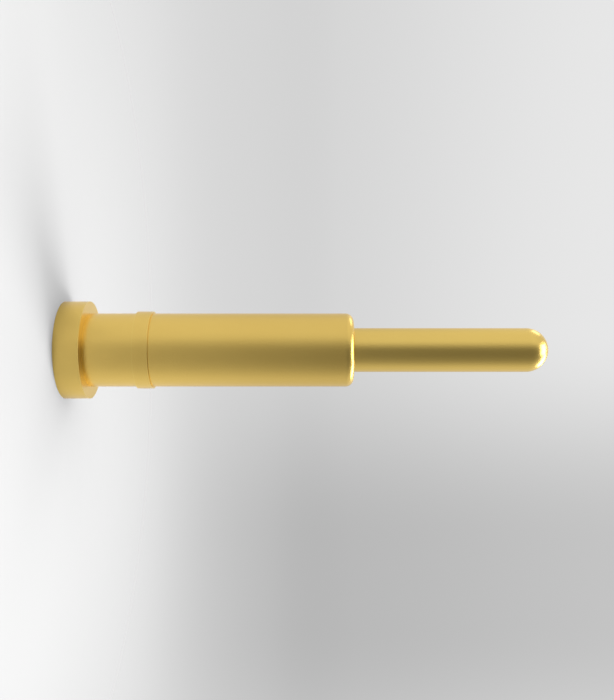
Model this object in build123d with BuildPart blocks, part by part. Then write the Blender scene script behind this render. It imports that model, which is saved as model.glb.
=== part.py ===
from build123d import *
import os
from math import cos, pi, sin

# A pogo pin, the spring-loaded contact that stands on a board. It has three pieces: a barrel turned in
# one with its solder flange and press collar, a plunger that slides in it, and a coil spring that holds
# the plunger's shoulder against the rolled-in mouth. Sizes are in millimetres. The pin stands on its
# flange: the origin is the centre of the solder face, and +Z points to the contact tip.

# Plunger
stem_diameter = 0.9
stem_reach = 3.99  # from the barrel's mouth to the tip
shoulder_width = 0.11  # step from the stem to the wider tail, which the lip holds in
tail_length = 1.5
spigot_length = 1.49  # guides the spring, and stops the plunger on the bore's floor
spigot_chamfer = 0.05

# Barrel
slide_clearance = 0.02  # radial, tail in bore
mouth_clearance = 0.02  # radial, stem in lip
wall_thickness = 0.17
barrel_length = 5.89  # from the solder face to the mouth
floor_thickness = 0.75  # solid metal under the bore
lip_thickness = 0.15
mouth_radius = 0.16  # outside of the rolled edge
shoulder_chamfer = 0.03  # where the tail seats in the corner under the lip
flange_overhang = 0.245
flange_thickness = 0.505
collar_step = 0.04  # how far the press collar stands proud of the barrel
collar_height = 1.49  # from the solder face to the collar
collar_length = 0.31

# Spring
wire_diameter = 0.12
wire_sides = 8  # the round wire is drawn with this many flats
coil_clearance = 0.04  # radial, coil in bore
spigot_clearance = 0.06  # radial, spigot in coil
active_turns = 8
closed_turns = 1  # at each end
closed_gap = 0.015  # between the wires of the closed turns
ramp_turns = 0.5  # over which the pitch opens, and closes again
ground_depth = 0.09  # ground off the wire at its two tips
points_per_turn = 12

# Radii, from the stem outwards
stem_radius = stem_diameter / 2
lip_radius = stem_radius + mouth_clearance
tail_radius = stem_radius + shoulder_width
bore_radius = tail_radius + slide_clearance
barrel_radius = bore_radius + wall_thickness
collar_radius = barrel_radius + collar_step
flange_radius = barrel_radius + flange_overhang
wire_radius = wire_diameter / 2
coil_radius = bore_radius - coil_clearance - wire_radius
spigot_radius = coil_radius - wire_radius - spigot_clearance

# Heights above the solder face
collar_top = collar_height + collar_length
shoulder_height = barrel_length - lip_thickness
tail_height = shoulder_height - tail_length
spigot_height = tail_height - spigot_length
tip_height = barrel_length + stem_reach
nose_height = tip_height - stem_radius

# Barrel: a turned blank with crisp rims, rolled in at the mouth over a flat-bottomed bore
with BuildPart() as barrel:
    with BuildSketch(Plane.XZ):
        with BuildLine():
            Polyline(
                (0, 0),
                (flange_radius, 0),
                (flange_radius, flange_thickness),
                (barrel_radius, flange_thickness),
                (barrel_radius, collar_height),
                (collar_radius, collar_height),
                (collar_radius, collar_top),
                (barrel_radius, collar_top),
                (barrel_radius, barrel_length),
                (0, barrel_length),
                close=True,
            )
        make_face()
    revolve(axis=Axis.Z)
    fillet(barrel.faces().sort_by(Axis.Z)[-1].edges(), mouth_radius)
    with BuildSketch(Plane.XY.offset(floor_thickness)):
        Circle(bore_radius)
    extrude(amount=shoulder_height - floor_thickness, mode=Mode.SUBTRACT)
    bore_rims = barrel.edges(Select.LAST).filter_by(GeomType.CIRCLE).sort_by(Axis.Z)
    chamfer(bore_rims[-1], shoulder_chamfer)
    with BuildSketch(Plane.XY.offset(shoulder_height)):
        Circle(lip_radius)
    extrude(amount=lip_thickness, mode=Mode.SUBTRACT)
barrel.part.label = "barrel"

# Plunger: a round nose, the stem, the tail that the lip holds in, and the spigot inside the spring
with BuildPart() as plunger:
    with BuildSketch(Plane.XZ):
        with BuildLine():
            Polyline(
                (0, tip_height),
                (0, spigot_height),
                (spigot_radius, spigot_height),
                (spigot_radius, tail_height),
                (tail_radius, tail_height),
                (tail_radius, shoulder_height),
                (stem_radius, shoulder_height),
                (stem_radius, nose_height),
            )
            CenterArc((0, nose_height), stem_radius, 0, 90)
        make_face()
    revolve(axis=Axis.Z)
    circles = plunger.edges().filter_by(GeomType.CIRCLE)
    tail_rims = circles.filter_by(lambda rim: rim.radius > stem_radius + shoulder_width / 2)
    chamfer(tail_rims, shoulder_chamfer)
    chamfer(plunger.faces().sort_by(Axis.Z)[0].edges(), spigot_chamfer)
plunger.part.label = "plunger"

# Spring: one wire wound with closed ends, which are ground flat to seat on the floor and the tail
turns = active_turns + 2 * closed_turns
closed_pitch = wire_diameter + closed_gap
wire_start = floor_thickness + wire_radius - ground_depth
wire_rise = tail_height - floor_thickness - 2 * (wire_radius - ground_depth)
open_pitch = closed_pitch + (wire_rise - closed_pitch * turns) / (active_turns - ramp_turns)


def ramp(turn):
    # Open turns wound so far, where the pitch opens evenly over the ramp
    if turn <= 0:
        return 0
    if turn < ramp_turns:
        return turn**2 / (2 * ramp_turns)
    return turn - ramp_turns / 2


def wire_point(turn):
    # Centre of the wire, this many turns from its lower end
    open_turns = ramp(turn - closed_turns) - ramp(turn + closed_turns + ramp_turns - turns)
    angle = 2 * pi * turn
    return (
        coil_radius * cos(angle),
        coil_radius * sin(angle),
        wire_start + closed_pitch * turn + (open_pitch - closed_pitch) * open_turns,
    )


with BuildPart() as spring:
    with BuildLine() as wire_path:
        Spline(*[wire_point(step / points_per_turn) for step in range(turns * points_per_turn + 1)])
    with BuildSketch(Plane(wire_path.line @ 0, z_dir=wire_path.line % 0)):
        RegularPolygon(wire_radius, wire_sides)
    sweep(path=wire_path.line, is_frenet=True)
    split(bisect_by=Plane.XY.offset(floor_thickness), keep=Keep.TOP)
    split(bisect_by=Plane.XY.offset(tail_height), keep=Keep.BOTTOM)
spring.part.label = "spring"

os.makedirs("parts", exist_ok=True)
export_step(barrel.part, "parts/barrel.step")
export_step(plunger.part, "parts/plunger.step")
export_step(spring.part, "parts/spring.step")
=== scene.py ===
from math import cos, pi, radians, sin

import bmesh
import bpy
from mathutils import Matrix, Vector


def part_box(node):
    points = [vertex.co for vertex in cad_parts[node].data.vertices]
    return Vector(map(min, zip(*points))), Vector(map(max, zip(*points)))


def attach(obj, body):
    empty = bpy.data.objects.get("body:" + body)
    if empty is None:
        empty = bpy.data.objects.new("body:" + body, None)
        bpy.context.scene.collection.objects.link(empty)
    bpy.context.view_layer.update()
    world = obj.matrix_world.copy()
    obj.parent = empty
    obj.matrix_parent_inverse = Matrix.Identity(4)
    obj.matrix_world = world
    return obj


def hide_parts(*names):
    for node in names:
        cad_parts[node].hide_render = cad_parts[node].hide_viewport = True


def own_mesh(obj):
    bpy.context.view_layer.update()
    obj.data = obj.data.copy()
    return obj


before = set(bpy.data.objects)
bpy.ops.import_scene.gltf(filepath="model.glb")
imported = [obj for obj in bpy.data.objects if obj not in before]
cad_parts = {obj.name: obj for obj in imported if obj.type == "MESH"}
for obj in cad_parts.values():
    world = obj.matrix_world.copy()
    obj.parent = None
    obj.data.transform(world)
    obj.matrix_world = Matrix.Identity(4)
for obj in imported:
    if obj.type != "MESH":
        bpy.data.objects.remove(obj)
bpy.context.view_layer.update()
print("frame loaded:", ", ".join(sorted(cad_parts)))

mm = 0.001
pinAxis = (0, 0, 1)
weldDistance = 1e-4 * mm  # closes the lathe's seam and joins its points on the axis


def toLinear(hexColour):
    channels = [int(hexColour[i:i + 2], 16) / 255 for i in (1, 3, 5)]
    linear = [c / 12.92 if c <= 0.04045 else ((c + 0.055) / 1.055) ** 2.4 for c in channels]
    return (*linear, 1.0)


# links maps an input's name or number to the output that feeds it, values to a plain value
# a Mix node's colours are inputs 6 and 7 and output 2, its numbers are inputs 2 and 3
def addNode(tree, kind, links=None, values=None, **settings):
    node = tree.nodes.new(kind)
    for name, setting in settings.items():
        setattr(node, name, setting)
    for socket, value in (values or {}).items():
        node.inputs[socket].default_value = value
    for socket, output in (links or {}).items():
        tree.links.new(output, node.inputs[socket])
    return node


def newMaterial(name):
    material = bpy.data.materials.new(name)
    material.use_nodes = True
    material.node_tree.nodes.clear()
    return material, material.node_tree


# where a point lies on its piece, in mm: the place itself, its X, Y and Z, and its distance from the axis
def placeInMm(tree):
    place = addNode(tree, "ShaderNodeTexCoord")
    inMm = addNode(tree, "ShaderNodeVectorMath", {0: place.outputs["Object"]},
                   {"Scale": 1 / mm}, operation="SCALE")
    parts = addNode(tree, "ShaderNodeSeparateXYZ", {0: inMm.outputs[0]})
    outward = addNode(tree, "ShaderNodeVectorMath", {0: inMm.outputs[0]},
                      {1: (1, 1, 0)}, operation="MULTIPLY")
    radius = addNode(tree, "ShaderNodeVectorMath", {0: outward.outputs[0]}, operation="LENGTH")
    return inMm.outputs[0], parts.outputs, radius.outputs["Value"]


def linkPiece(name, mesh):
    piece = bpy.data.objects.new(name, mesh)
    bpy.context.scene.collection.objects.link(piece)
    return piece


def smoothMesh(name, bm, sharpAngle):
    mesh = bpy.data.meshes.new(name)
    bm.to_mesh(mesh)
    bm.free()
    mesh.shade_smooth()
    mesh.set_sharp_from_angle(angle=radians(sharpAngle))
    return mesh


# points of a quarter round on a lathe profile, from its outermost point up to its top
def quarterRound(centreRadius, centreHeight, radius, steps):
    bends = [radians(90 * step / steps) for step in range(steps + 1)]
    return [(centreRadius + radius * cos(bend), centreHeight + radius * sin(bend)) for bend in bends]


# spins a half profile of (radius, height) points in mm about the pin's axis
def turnOnLathe(name, profile, rims, look):
    bm = bmesh.new()
    wear = bm.verts.layers.float.new("rimWear")
    points = []
    for number, (radius, height) in enumerate(profile):
        point = bm.verts.new((radius * mm, 0, height * mm))
        point[wear] = 1.0 if number in rims else 0.0
        points.append(point)
    edges = [bm.edges.new(pair) for pair in zip(points, points[1:])]
    bmesh.ops.spin(bm, geom=points + edges, cent=(0, 0, 0), axis=pinAxis,
                   angle=2 * pi, steps=look["segments"], use_merge=True)
    bmesh.ops.remove_doubles(bm, verts=bm.verts, dist=weldDistance)
    bmesh.ops.recalc_face_normals(bm, faces=bm.faces)
    piece = linkPiece(name, smoothMesh(name, bm, look["sharpAngle"]))
    piece.modifiers.new("flatFacesStayFlat", "WEIGHTED_NORMAL").keep_sharp = True
    return piece


# adds the corners of a profile with a narrow band on both sides of each worn one, which the wear fades over
def withRims(corners, wornCorners, band):
    profile, rims = [], []
    for number, (radius, height) in enumerate(corners):
        here = Vector((radius, height))
        if number not in wornCorners:
            profile.append((radius, height))
            continue
        before, after = Vector(corners[number - 1]), Vector(corners[number + 1])
        profile.append(tuple(here + (before - here).normalized() * band))
        rims.append(len(profile))
        profile.append((radius, height))
        profile.append(tuple(here + (after - here).normalized() * band))
    return profile, rims


# Gold plate on turned brass: a warm satin metal, with faint rings from the tool and a fine sandy grain.
# The real grain and rings are a few microns wide, so both are drawn coarser here to show at all.
barrelFinish = {
    "gold": "#f9d677",
    "deepGold": "#f5d071",
    "wornGold": "#fada7d",
    "roughness": 0.30,
    "roughnessSpread": 0.02,  # narrow, because a render gets specks where the roughness is under 0.275
    "wornRoughness": 0.28,
    "toneSize": 1.4,  # mm, drift of the plate's colour
    "toneDetail": 3.0,
    "grainSize": 0.03,  # mm
    "grainDetail": 0.0,
    "grainHeight": 0.0016,  # mm
    "ringWidth": 0.03,  # mm, tool feed
    "ringDetail": 1.0,
    "ringHeight": 0.0006,  # mm
}


def goldPlatedBrass(name, look):
    material, tree = newMaterial(name)
    inMm, parts, radius = placeInMm(tree)
    alongCut = addNode(tree, "ShaderNodeCombineXYZ", {"X": radius, "Z": parts["Z"]})
    tone = addNode(tree, "ShaderNodeTexNoise", {"Vector": inMm},
                   {"Scale": 1 / look["toneSize"], "Detail": look["toneDetail"]})
    grain = addNode(tree, "ShaderNodeTexNoise", {"Vector": inMm},
                    {"Scale": 1 / look["grainSize"], "Detail": look["grainDetail"]})
    rings = addNode(tree, "ShaderNodeTexNoise", {"Vector": alongCut.outputs[0]},
                    {"Scale": 1 / look["ringWidth"], "Detail": look["ringDetail"]})
    wear = addNode(tree, "ShaderNodeAttribute", attribute_name="rimWear")

    plate = addNode(tree, "ShaderNodeMix", {0: tone.outputs["Fac"]},
                    {6: toLinear(look["deepGold"]), 7: toLinear(look["gold"])}, data_type="RGBA")
    colour = addNode(tree, "ShaderNodeMix", {0: wear.outputs["Fac"], 6: plate.outputs[2]},
                     {7: toLinear(look["wornGold"])}, data_type="RGBA")
    satin = addNode(tree, "ShaderNodeMapRange", {"Value": grain.outputs["Fac"]}, {
        "To Min": look["roughness"] - look["roughnessSpread"],
        "To Max": look["roughness"] + look["roughnessSpread"]})
    roughness = addNode(tree, "ShaderNodeMix", {0: wear.outputs["Fac"], 2: satin.outputs[0]},
                        {3: look["wornRoughness"]})
    grainBump = addNode(tree, "ShaderNodeBump", {"Height": grain.outputs["Fac"]},
                        {"Distance": look["grainHeight"] * mm})
    bump = addNode(tree, "ShaderNodeBump", {"Height": rings.outputs["Fac"], "Normal": grainBump.outputs[0]},
                   {"Distance": look["ringHeight"] * mm})
    metal = addNode(tree, "ShaderNodeBsdfPrincipled", {
        "Base Color": colour.outputs[2], "Roughness": roughness.outputs[0],
        "Normal": bump.outputs[0]}, {"Metallic": 1.0})
    addNode(tree, "ShaderNodeOutputMaterial", {"Surface": metal.outputs["BSDF"]})
    return material


# Barrel, sizes in mm
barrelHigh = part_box("barrel")[1]
barrel = {
    "flangeRadius": barrelHigh.x / mm,
    "flangeTop": 0.505,
    "wallRadius": 0.75,
    "collarRadius": 0.79,
    "collarBottom": 1.49,
    "collarTop": 1.80,
    "mouth": barrelHigh.z / mm,
    "mouthRoll": 0.16,
    "rollSteps": 18,
    "lipRadius": 0.47,
    "lipThickness": 0.15,
    "seatChamfer": 0.03,
    "boreRadius": 0.58,
    "boreFloor": 0.75,
    "rimBand": 0.02,
    "wornCorners": (1, 2, 5, 6),  # both rims of the flange and of the collar
    "segments": 224,
    "sharpAngle": 25,
}


def buildBarrel(b):
    seat = b["mouth"] - b["lipThickness"]
    roll = b["mouthRoll"]
    rollFoot = b["mouth"] - roll
    corners = [
        (0, 0),
        (b["flangeRadius"], 0),
        (b["flangeRadius"], b["flangeTop"]),
        (b["wallRadius"], b["flangeTop"]),
        (b["wallRadius"], b["collarBottom"]),
        (b["collarRadius"], b["collarBottom"]),
        (b["collarRadius"], b["collarTop"]),
        (b["wallRadius"], b["collarTop"]),
        (b["wallRadius"], rollFoot - b["rimBand"]),  # keeps the wall's shading straight
        *quarterRound(b["wallRadius"] - roll, rollFoot, roll, b["rollSteps"]),
        (b["lipRadius"], b["mouth"]),
        (b["lipRadius"], seat),
        (b["boreRadius"] - b["seatChamfer"], seat),
        (b["boreRadius"], seat - b["seatChamfer"]),
        (b["boreRadius"], b["boreFloor"]),
        (0, b["boreFloor"]),
    ]
    profile, rims = withRims(corners, b["wornCorners"], b["rimBand"])
    return turnOnLathe("turnedBarrel", profile, rims, b)


barrelPiece = buildBarrel(barrel)
barrelPiece.data.materials.append(goldPlatedBrass("goldPlatedTurnedBarrel", barrelFinish))
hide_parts("barrel")
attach(barrelPiece, "barrel")
print("barrel turned and plated")

# Plunger, sizes in mm, with a plate that is a touch brighter and smoother than the barrel's
plungerLow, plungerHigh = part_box("plunger")
plunger = {
    "tip": plungerHigh.z / mm,
    "noseSteps": 56,
    "stemRadius": 0.45,
    "tailRadius": plungerHigh.x / mm,
    "tailTop": 5.74,
    "tailBottom": 4.24,
    "tailChamfer": 0.03,
    "spigotRadius": 0.36,
    "spigotBottom": plungerLow.z / mm,
    "spigotChamfer": 0.05,
    "wornCorners": (4, 5, 6, 7),  # both chamfers of the tail
    "segments": 192,
    "sharpAngle": 35,
}
plungerFinish = {
    **barrelFinish,
    "gold": "#fad879",
    "deepGold": "#f6d373",
    "roughness": 0.286,
    "roughnessSpread": 0.008,
    "grainHeight": 0.0014,  # mm
    "ringHeight": 0.0003,  # mm
}


def buildPlunger(p):
    cut, end = p["tailChamfer"], p["spigotChamfer"]
    profile = [
        (0, p["spigotBottom"]),
        (p["spigotRadius"] - end, p["spigotBottom"]),
        (p["spigotRadius"], p["spigotBottom"] + end),
        (p["spigotRadius"], p["tailBottom"]),
        (p["tailRadius"] - cut, p["tailBottom"]),
        (p["tailRadius"], p["tailBottom"] + cut),
        (p["tailRadius"], p["tailTop"] - cut),
        (p["tailRadius"] - cut, p["tailTop"]),
        (p["stemRadius"], p["tailTop"]),
        *quarterRound(0, p["tip"] - p["stemRadius"], p["stemRadius"], p["noseSteps"]),
    ]
    return turnOnLathe("turnedPlunger", profile, p["wornCorners"], p)


plungerPiece = buildPlunger(plunger)
plungerPiece.data.materials.append(goldPlatedBrass("goldPlatedTurnedPlunger", plungerFinish))
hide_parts("plunger")
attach(plungerPiece, "plunger")
print("plunger turned and plated")

# Spring, sizes in mm
springLow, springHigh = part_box("spring")
spring = {
    "bottom": springLow.z / mm,
    "top": springHigh.z / mm,
    "wireRadius": 0.06,
    "coilRadius": 0.48,
    "activeTurns": 8,
    "closedTurns": 1,  # at each end
    "closedGap": 0.015,
    "rampTurns": 0.5,
    "groundDepth": 0.09,
    "stepsPerTurn": 48,
    "wireSides": 16,
    "sharpAngle": 40,
}


# turns wound at the open pitch so far, where the pitch opens evenly over the ramp
def openTurns(turn, rampTurns):
    if turn <= 0:
        return 0
    return turn ** 2 / (2 * rampTurns) if turn < rampTurns else turn - rampTurns / 2


def buildSpring(s):
    turns = s["activeTurns"] + 2 * s["closedTurns"]
    closedPitch = 2 * s["wireRadius"] + s["closedGap"]
    inset = s["wireRadius"] - s["groundDepth"]
    rise = s["top"] - s["bottom"] - 2 * inset
    extraPitch = (rise - closedPitch * turns) / (s["activeTurns"] - s["rampTurns"])
    bm = bmesh.new()
    sections = []
    for step in range(turns * s["stepsPerTurn"] + 1):
        turn = step / s["stepsPerTurn"]
        opened = openTurns(turn - s["closedTurns"], s["rampTurns"])
        opened -= openTurns(turn + s["closedTurns"] + s["rampTurns"] - turns, s["rampTurns"])
        height = s["bottom"] + inset + closedPitch * turn + extraPitch * opened
        angle = 2 * pi * turn
        section = []
        for side in range(s["wireSides"]):
            bend = 2 * pi * side / s["wireSides"]
            radius = s["coilRadius"] + s["wireRadius"] * cos(bend)
            lift = height + s["wireRadius"] * sin(bend)
            lift = min(max(lift, s["bottom"]), s["top"])  # ends ground flat
            section.append(bm.verts.new((radius * cos(angle) * mm, radius * sin(angle) * mm, lift * mm)))
        sections.append(section)
    for low, high in zip(sections, sections[1:]):
        for side in range(s["wireSides"]):
            following = (side + 1) % s["wireSides"]
            bm.faces.new((low[side], low[following], high[following], high[side]))
    bm.faces.new(sections[0])
    bm.faces.new(sections[-1])
    bmesh.ops.recalc_face_normals(bm, faces=bm.faces)
    return linkPiece("coilSpring", smoothMesh("coilSpring", bm, s["sharpAngle"]))


# Drawn stainless wire: a grey, fairly bright metal with fine lines from the die along the wire.
# The real lines are a micron or two wide, so they are drawn coarser here.
wireFinish = {
    "steel": "#c9c7c2",
    "darkSteel": "#b7b5b0",
    "roughness": 0.27,
    "roughnessSpread": 0.08,
    "lineWidth": 0.012,  # mm across the wire
    "lineLength": 0.5,  # mm along it
    "lineDetail": 2.0,
    "lineHeight": 0.0004,  # mm
}


def drawnStainlessWire(name, look):
    material, tree = newMaterial(name)
    parts, radius = placeInMm(tree)[1:]
    angle = addNode(tree, "ShaderNodeMath", {0: parts["Y"], 1: parts["X"]}, operation="ARCTAN2")
    stretch = spring["coilRadius"] * look["lineWidth"] / look["lineLength"]
    along = addNode(tree, "ShaderNodeMath", {0: angle.outputs[0]}, {1: stretch}, operation="MULTIPLY")
    drawn = addNode(tree, "ShaderNodeCombineXYZ", {"X": radius, "Y": along.outputs[0], "Z": parts["Z"]})
    lines = addNode(tree, "ShaderNodeTexNoise", {"Vector": drawn.outputs[0]},
                    {"Scale": 1 / look["lineWidth"], "Detail": look["lineDetail"]})
    colour = addNode(tree, "ShaderNodeMix", {0: lines.outputs["Fac"]},
                     {6: toLinear(look["darkSteel"]), 7: toLinear(look["steel"])}, data_type="RGBA")
    roughness = addNode(tree, "ShaderNodeMapRange", {"Value": lines.outputs["Fac"]}, {
        "To Min": look["roughness"] - look["roughnessSpread"],
        "To Max": look["roughness"] + look["roughnessSpread"]})
    bump = addNode(tree, "ShaderNodeBump", {"Height": lines.outputs["Fac"]},
                   {"Distance": look["lineHeight"] * mm})
    metal = addNode(tree, "ShaderNodeBsdfPrincipled", {
        "Base Color": colour.outputs[2], "Roughness": roughness.outputs[0],
        "Normal": bump.outputs[0]}, {"Metallic": 1.0})
    addNode(tree, "ShaderNodeOutputMaterial", {"Surface": metal.outputs["BSDF"]})
    return material


springPiece = buildSpring(spring)
springPiece.data.materials.append(drawnStainlessWire("drawnStainlessWire", wireFinish))
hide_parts("spring")
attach(springPiece, "barrel")
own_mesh(springPiece)
print("spring wound")

# Floor of matte white paint, which takes soft shadows and has no gloss.
# It fades into the studio with distance, and its reflection in the gold is painted a little dimmer than the
# floor itself.
floorLook = {
    "radius": 120,  # mm
    "segments": 128,
    "drop": 0.001,  # mm under the solder face
    "fadeLength": 7,  # mm
    "paint": "#fdfdfd",
    "paintedDimReflection": "#e8e8e8",
}


def buildFloor(f):
    mesh = bpy.data.meshes.new("studioFloor")
    bm = bmesh.new()
    bmesh.ops.create_circle(bm, cap_ends=True, segments=f["segments"], radius=f["radius"] * mm)
    bm.to_mesh(mesh)
    bm.free()
    piece = linkPiece("studioFloor", mesh)
    piece.location.z = -f["drop"] * mm
    material, tree = newMaterial("matteFloorPaint")
    place = addNode(tree, "ShaderNodeTexCoord")
    reach = addNode(tree, "ShaderNodeVectorMath", {0: place.outputs["Object"]}, operation="LENGTH")
    scaled = addNode(tree, "ShaderNodeMath", {0: reach.outputs["Value"]},
                     {1: -1 / (f["fadeLength"] * mm)}, operation="MULTIPLY")
    shown = addNode(tree, "ShaderNodeMath", {0: scaled.outputs[0]}, operation="EXPONENT")
    ray = addNode(tree, "ShaderNodeLightPath")
    # painted shade: glossy rays see the floor in a darker grey, so the gold mirrors a dimmer floor
    colour = addNode(tree, "ShaderNodeMix", {0: ray.outputs["Is Glossy Ray"]},
                     {6: toLinear(f["paint"]), 7: toLinear(f["paintedDimReflection"])}, data_type="RGBA")
    paint = addNode(tree, "ShaderNodeBsdfDiffuse", {"Color": colour.outputs[2]})
    clear = addNode(tree, "ShaderNodeBsdfTransparent")
    fade = addNode(tree, "ShaderNodeMixShader", {
        0: shown.outputs[0], 1: clear.outputs[0], 2: paint.outputs[0]})
    addNode(tree, "ShaderNodeOutputMaterial", {"Surface": fade.outputs[0]})
    mesh.materials.append(material)
    return piece


buildFloor(floorLook)
print("floor laid")

# Studio: grey by elevation, all round and on walls at an azimuth, in degrees from +Y towards +X.
# The two walls behind the camera light the floor and show in the gold, but in no view's background.
studio = {
    "levels": [(-20, "#f9f9f9"), (-15, "#e7e7e7"), (-9, "#dcdcdc"), (-3, "#d5d5d5"), (2, "#d6d6d6"),
               (20, "#e7e7e7"), (45, "#dadada")],
    "walls": [
        {"azimuth": -102, "inner": 25, "outer": 70, "behindCamera": False,
         "levels": [(-13, "#f8f8f8"), (-2, "#e8e8e8"), (20, "#f6f6f6"), (45, "#ededed"), (60, "#dcdcdc")]},
        {"azimuth": 75, "inner": 25, "outer": 55, "behindCamera": False,
         "levels": [(-13, "#ffffff"), (-3, "#dcdcdc"), (3, "#dbdbdb"), (20, "#e9e9e9"), (60, "#e0e0e0")]},
        {"azimuth": 15.3, "inner": 2.5, "outer": 17, "behindCamera": False,
         "levels": [(-20, "#ffffff"), (-15, "#f0f0f0"), (-9, "#d4d4d4"), (-2, "#bcbcbc"), (3, "#b9b9b9"),
                    (20, "#c4c4c4")]},
        {"azimuth": 130, "inner": 4, "outer": 62, "behindCamera": True,
         "levels": [(-20, "#7c7c7c"), (-14, "#dddddd"), (-8, "#dadada"), (-4, "#bdbdbd"), (0, "#a3a3a3"),
                    (5, "#9b9b9b"), (14, "#9b9b9b")]},
        {"azimuth": 166, "inner": 12, "outer": 58, "behindCamera": True,
         "levels": [(-20, "#707070"), (-14, "#c4c4c4"), (-8, "#c7c7c7"), (-4, "#a7a7a7"), (0, "#868686"),
                    (5, "#7b7b7b"), (14, "#7e7e7e")]},
    ],
    "mirrored": {"azimuth": 180, "inner": 128, "outer": 152, "grey": "#eeeeee"},
}


def greyByElevation(tree, height, levels):
    ramp = addNode(tree, "ShaderNodeValToRGB", {0: height})
    ramp.color_ramp.interpolation = "CARDINAL"  # no creases at the stops
    stops = ramp.color_ramp.elements
    stops[1].position = 1.0  # straight up, where the highest level goes on
    for number, (elevation, grey) in enumerate(levels):
        position = (1 + sin(radians(elevation))) / 2
        stop = stops[0] if number == 0 else stops.new(position)
        stop.position, stop.color = position, toLinear(grey)
    stops[-1].color = toLinear(levels[-1][1])
    return ramp.outputs["Color"]


# 1 within the inner angle of the wall's azimuth, 0 beyond the outer
def shareOfWall(tree, level, wall):
    turn = radians(wall["azimuth"])
    facing = addNode(tree, "ShaderNodeVectorMath", {0: level.outputs[0]},
                     {1: (sin(turn), cos(turn), 0)}, operation="DOT_PRODUCT")
    offset = addNode(tree, "ShaderNodeMath", {0: facing.outputs["Value"]}, operation="ARCCOSINE")
    return addNode(tree, "ShaderNodeMapRange", {"Value": offset.outputs[0]}, {
        "From Min": radians(wall["outer"]), "From Max": radians(wall["inner"])},
        interpolation_type="SMOOTHSTEP")


def buildStudio(s):
    world = bpy.data.worlds.new("studio")
    bpy.context.scene.world = world
    world.use_nodes = True
    tree = world.node_tree
    tree.nodes.clear()
    ray = addNode(tree, "ShaderNodeLightPath")
    unseen = addNode(tree, "ShaderNodeMath", {1: ray.outputs["Is Camera Ray"]},
                     {0: 1.0}, operation="SUBTRACT")
    place = addNode(tree, "ShaderNodeTexCoord")
    parts = addNode(tree, "ShaderNodeSeparateXYZ", {0: place.outputs["Generated"]})
    height = addNode(tree, "ShaderNodeMapRange", {"Value": parts.outputs["Z"]}, {"From Min": -1.0})
    flat = addNode(tree, "ShaderNodeVectorMath", {0: place.outputs["Generated"]},
                   {1: (1, 1, 0)}, operation="MULTIPLY")
    level = addNode(tree, "ShaderNodeVectorMath", {0: flat.outputs[0]}, operation="NORMALIZE")
    colour = greyByElevation(tree, height.outputs[0], s["levels"])
    for wall in s["walls"]:
        share = shareOfWall(tree, level, wall)
        if wall["behindCamera"]:
            share = addNode(tree, "ShaderNodeMath", {0: share.outputs[0], 1: unseen.outputs[0]},
                            operation="MULTIPLY")
        grey = greyByElevation(tree, height.outputs[0], wall["levels"])
        colour = addNode(tree, "ShaderNodeMix", {0: share.outputs[0], 6: colour, 7: grey},
                         data_type="RGBA").outputs[2]
    # the walls out of the picture are a little dimmer in the gold than on the floor
    mirrored = addNode(tree, "ShaderNodeMath", {
        0: shareOfWall(tree, level, s["mirrored"]).outputs[0], 1: ray.outputs["Is Glossy Ray"]},
        operation="MULTIPLY")
    dimming = toLinear(s["mirrored"]["grey"])
    colour = addNode(tree, "ShaderNodeMix", {0: mirrored.outputs[0], 6: colour}, {7: dimming},
                     data_type="RGBA", blend_type="MULTIPLY").outputs[2]
    sky = addNode(tree, "ShaderNodeBackground", {"Color": colour})
    addNode(tree, "ShaderNodeOutputWorld", {"Surface": sky.outputs[0]})


buildStudio(studio)

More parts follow.
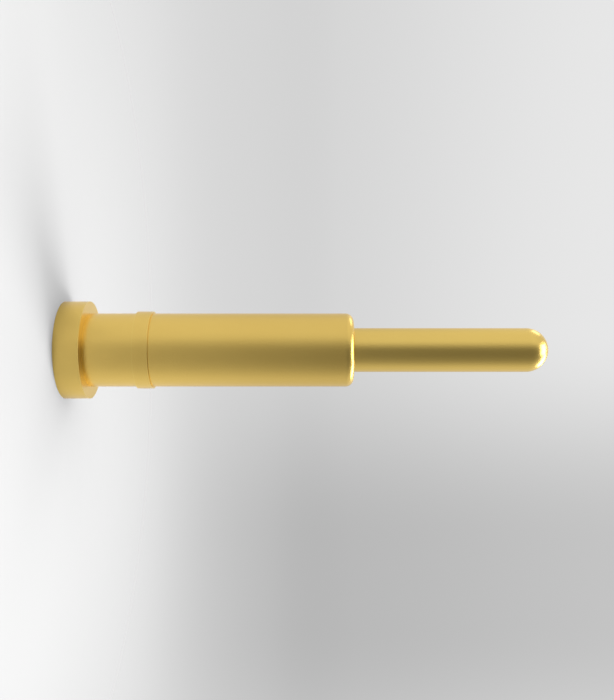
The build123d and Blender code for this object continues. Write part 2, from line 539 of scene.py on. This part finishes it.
# Softboxes: azimuth and elevation in degrees as seen from the pin, sizes in mm, level 1 is white
softboxes = {
    "keyBox": {"azimuth": 50, "elevation": 53, "distance": 80, "size": (34, 40), "level": 6.3,
               "onFloor": True},
    "overheadBox": {"azimuth": 0, "elevation": 90, "distance": 80, "size": (48, 50), "level": 5.3,
                    "onFloor": False},
    "leftBox": {"azimuth": -50, "elevation": 34, "distance": 80, "size": (28, 24), "level": 1.85,
                "onFloor": True},
}
pinMiddle = Vector((0, 0, 5 * mm))  # all of them face it


def hangSoftbox(name, box):
    turn, lift = radians(box["azimuth"]), radians(box["elevation"])
    toward = Vector((sin(turn) * cos(lift), cos(turn) * cos(lift), sin(lift)))
    lamp = bpy.data.lights.new(name, "AREA")
    lamp.shape = "RECTANGLE"
    lamp.size, lamp.size_y = (side * mm for side in box["size"])
    lamp.energy = box["level"] * pi * lamp.size * lamp.size_y
    holder = bpy.data.objects.new(name, lamp)
    holder.location = pinMiddle + toward * box["distance"] * mm
    holder.rotation_euler = toward.to_track_quat("Z", "Y").to_euler()
    holder.visible_camera = False
    holder.visible_diffuse = box["onFloor"]
    bpy.context.scene.collection.objects.link(holder)


for boxName, box in softboxes.items():
    hangSoftbox(boxName, box)
print("studio lit")

# Camera: level with the pin's middle, turned a quarter so that the pin's tip points right
cameraSetup = {
    "distance": 17.456,  # mm
    "height": 4.942,  # mm
    "focalPixels": 850,
    "longSidePixels": 700,
    "sensor": 36,  # mm
    "clipStart": 1,  # mm
    "clipEnd": 1000,  # mm
}


def placeCamera(c):
    lens = bpy.data.cameras.new("pinCamera")
    lens.sensor_width = c["sensor"]
    lens.lens = c["focalPixels"] * c["sensor"] / c["longSidePixels"]
    lens.clip_start, lens.clip_end = c["clipStart"] * mm, c["clipEnd"] * mm
    holder = bpy.data.objects.new("pinCamera", lens)
    imageRight, imageUp, backward = Vector((0, 0, 1)), Vector((-1, 0, 0)), Vector((0, -1, 0))
    turned = Matrix((imageRight, imageUp, backward)).transposed().to_4x4()
    holder.matrix_world = Matrix.Translation((0, -c["distance"] * mm, c["height"] * mm)) @ turned
    bpy.context.scene.collection.objects.link(holder)
    bpy.context.scene.camera = holder


placeCamera(cameraSetup)
bpy.context.scene.view_settings.view_transform = "Standard"
bpy.context.scene.cycles.caustics_reflective = False  # the gold throws no glints on the floor
print("camera placed")
